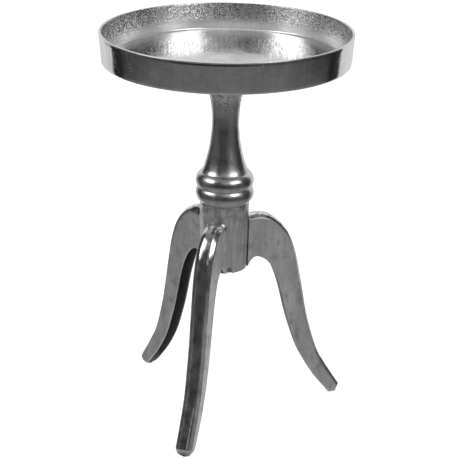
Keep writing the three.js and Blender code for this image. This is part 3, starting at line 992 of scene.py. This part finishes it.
REPLACED_NODES = ("tray_pan", "column_spindle", "leg_hub", "leg_front", "leg_right", "leg_left")


def carried_over():
    """Gives the CAD nodes that stay in view their materials."""
    for name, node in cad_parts.items():
        if name in REPLACED_NODES:
            continue
        node.data.materials.clear()
        node.data.materials.append(RUBBER if name.startswith("foot_pad") else STEEL)


# ---------------------------------------------------------------- studio


FLOOR_REACH = 30.0
FLOOR_GLOW = 0.85


def studio_floor():
    mesh = bpy.data.meshes.new("studio_floor")
    corners = [(x * FLOOR_REACH, y * FLOOR_REACH, 0) for x, y in ((-1, -1), (1, -1), (1, 1), (-1, 1))]
    mesh.from_pydata(corners, [], [(0, 1, 2, 3)])
    material, g = new_material("studio_floor")
    shade = g.math("ADD", g.math("MULTIPLY", g.noise(g.place(), 0.5), 0.02), 0.79)
    shader = finish_surface(g, g.grey(shade), 0.9, None, 0.0)
    shader.inputs["Emission Color"].default_value = (1, 1, 1, 1)
    shader.inputs["Emission Strength"].default_value = FLOOR_GLOW
    mesh.materials.append(material)
    floor = bpy.data.objects.new("studio_floor", mesh)
    bpy.context.scene.collection.objects.link(floor)
    floor.visible_glossy = False


# The room is drawn by elevation and by azimuth from the camera's direction, both in degrees.
# ROOM holds the brightness of the open room at each elevation.
ROOM = [
    (-90, 0.28), (-50, 0.26), (-34, 0.20), (-26, 0.165), (-23, 0.14), (-20, 0.04), (-10, 0.025),
    (0, 0.035), (12, 0.03), (35, 0.03), (50, 0.04), (65, 0.36), (90, 1.0),
]
PANELS = {"panel_left": -72, "panel_right": 48}
PANEL_DISTANCE = 1.1
PANEL_WIDTH = 0.92
PANEL_BOTTOM = 0.8
PANEL_TOP = 2.9
PANEL_FADE = 0.22
PANEL_LIGHT = 3.2
PANEL_GLOW = 0.07
PANEL_GLOW_LEFT = (-102, -50)
PANEL_GLOW_RIGHT = (20, 80)
PANEL_GLOW_HEIGHT = (-19, 20)
LEFT_FLAG = (-126, -109)
RIGHT_FLAG = (107, 116)
FLAG_HEIGHT = (-60, 5)
TALL_FLAG = (-138, -104)
TALL_FLAG_HEIGHT = (-14, 60)
FLAG_LIGHT = 0.02
BACKDROP_EDGE = 125
BACKDROP_HEIGHT = (-55, 60)
BACKDROP_LIGHT = 0.72
TOP_LIGHT = 0.34
TOP_LIGHT_ACROSS = (-12, 22)
TOP_LIGHT_HEIGHT = (26, 76)


def room_by_elevation(g, elevation):
    curve = g.node("ShaderNodeValToRGB")
    g.put(curve.inputs[0], g.math("ADD", g.math("DIVIDE", elevation, 180.0), 0.5))
    stops = curve.color_ramp.elements
    stops.remove(stops[-1])
    for i, (angle, value) in enumerate(ROOM):
        position = angle / 180 + 0.5
        stop = stops[0] if i == 0 else stops.new(position)
        stop.position = position
        stop.color = (value, value, value, 1)
    channels = g.node("ShaderNodeSeparateColor")
    g.put(channels.inputs[0], curve.outputs[0])
    return channels.outputs[0]


def light_panel(name, azimuth):
    """A tall soft light beside the object, which fades out towards its edges."""
    side = PANEL_WIDTH / 2
    corners = [(-side, 0, PANEL_BOTTOM), (side, 0, PANEL_BOTTOM)]
    corners += [(side, 0, PANEL_TOP), (-side, 0, PANEL_TOP)]
    mesh = bpy.data.meshes.new(name)
    mesh.from_pydata(corners, [], [(0, 1, 2, 3)])
    material, g = new_material(name)
    split = g.node("ShaderNodeSeparateXYZ")
    g.put(split.inputs[0], g.place())
    across, _, height = split.outputs
    fade = PANEL_FADE / 2
    glow = g.math("MULTIPLY", g.window(across, fade - side, side - fade, fade),
                  g.window(height, PANEL_BOTTOM + fade, PANEL_TOP - fade, fade))
    emission = g.node("ShaderNodeEmission")
    g.put(emission.inputs["Strength"], g.math("MULTIPLY", glow, PANEL_LIGHT))
    g.put(g.node("ShaderNodeOutputMaterial").inputs["Surface"], emission.outputs[0])
    mesh.materials.append(material)
    panel = bpy.data.objects.new(name, mesh)
    turn = Matrix.Rotation(CAMERA_AZIMUTH + math.radians(azimuth), 4, "Z")
    panel.matrix_world = turn @ Matrix.Translation((0, -PANEL_DISTANCE, 0))
    panel.visible_camera = False
    panel.visible_shadow = False
    bpy.context.scene.collection.objects.link(panel)


def studio_light():
    """A studio drawn on the sky: white behind the object, black flags on each side, a dark room towards
    the camera with a soft light high up in it, and a faint glow under the two panels."""
    world = bpy.data.worlds.new("studio")
    world.use_nodes = True
    bpy.context.scene.world = world
    g = Graph(world.node_tree)
    turned_frame = g.node("ShaderNodeMapping", vector_type="POINT")
    g.put(turned_frame.inputs["Vector"], g.node("ShaderNodeTexCoord").outputs["Generated"])
    turned_frame.inputs["Rotation"].default_value = (0, 0, -CAMERA_AZIMUTH)
    split = g.node("ShaderNodeSeparateXYZ")
    g.put(split.inputs[0], turned_frame.outputs[0])
    x, y, z = split.outputs
    degrees = 180 / math.pi
    azimuth = g.math("MULTIPLY", g.math("ARCTAN2", x, g.math("MULTIPLY", y, -1.0)), degrees)
    aside = g.math("ABSOLUTE", azimuth)
    elevation = g.math("MULTIPLY", g.math("ARCSINE", z), degrees)

    light = room_by_elevation(g, elevation)
    backdrop = g.ramp(aside, BACKDROP_EDGE - 2, BACKDROP_EDGE + 2)
    backdrop = g.math("MULTIPLY", backdrop, g.window(elevation, *BACKDROP_HEIGHT, 12))
    light = g.mix(backdrop, light, BACKDROP_LIGHT)
    low_flags = g.math("ADD", g.window(azimuth, *LEFT_FLAG, 2), g.window(azimuth, *RIGHT_FLAG, 2))
    low_flags = g.math("MULTIPLY", low_flags, g.window(elevation, *FLAG_HEIGHT, 6))
    tall_flag = g.window(azimuth, *TALL_FLAG, 4)
    tall_flag = g.math("MULTIPLY", tall_flag, g.window(elevation, *TALL_FLAG_HEIGHT, 6))
    light = g.mix(g.math("MAXIMUM", tall_flag, low_flags), light, FLAG_LIGHT)
    glow = g.window(azimuth, *PANEL_GLOW_LEFT, 9)
    glow = g.math("ADD", glow, g.window(azimuth, *PANEL_GLOW_RIGHT, 9))
    glow = g.math("MULTIPLY", glow, g.window(elevation, *PANEL_GLOW_HEIGHT, 3))
    light = g.mix(glow, light, PANEL_GLOW)
    top_light = g.window(azimuth, *TOP_LIGHT_ACROSS, 8)
    top_light = g.math("MULTIPLY", top_light, g.window(elevation, *TOP_LIGHT_HEIGHT, 6))
    light = g.mix(top_light, light, TOP_LIGHT)
    seen = g.node("ShaderNodeLightPath").outputs["Is Camera Ray"]
    background = g.node("ShaderNodeBackground")
    g.put(background.inputs["Color"], g.grey(g.mix(seen, light, 1.0)))
    g.put(g.node("ShaderNodeOutputWorld").inputs["Surface"], background.outputs[0])


def colour_management():
    view = bpy.context.scene.view_settings
    view.view_transform = "Standard"
    view.look = "None"


make_camera()
tray()
column()
hub()
legs()
carried_over()
studio_floor()
for panel_name, panel_azimuth in PANELS.items():
    light_panel(panel_name, panel_azimuth)
studio_light()
colour_management()
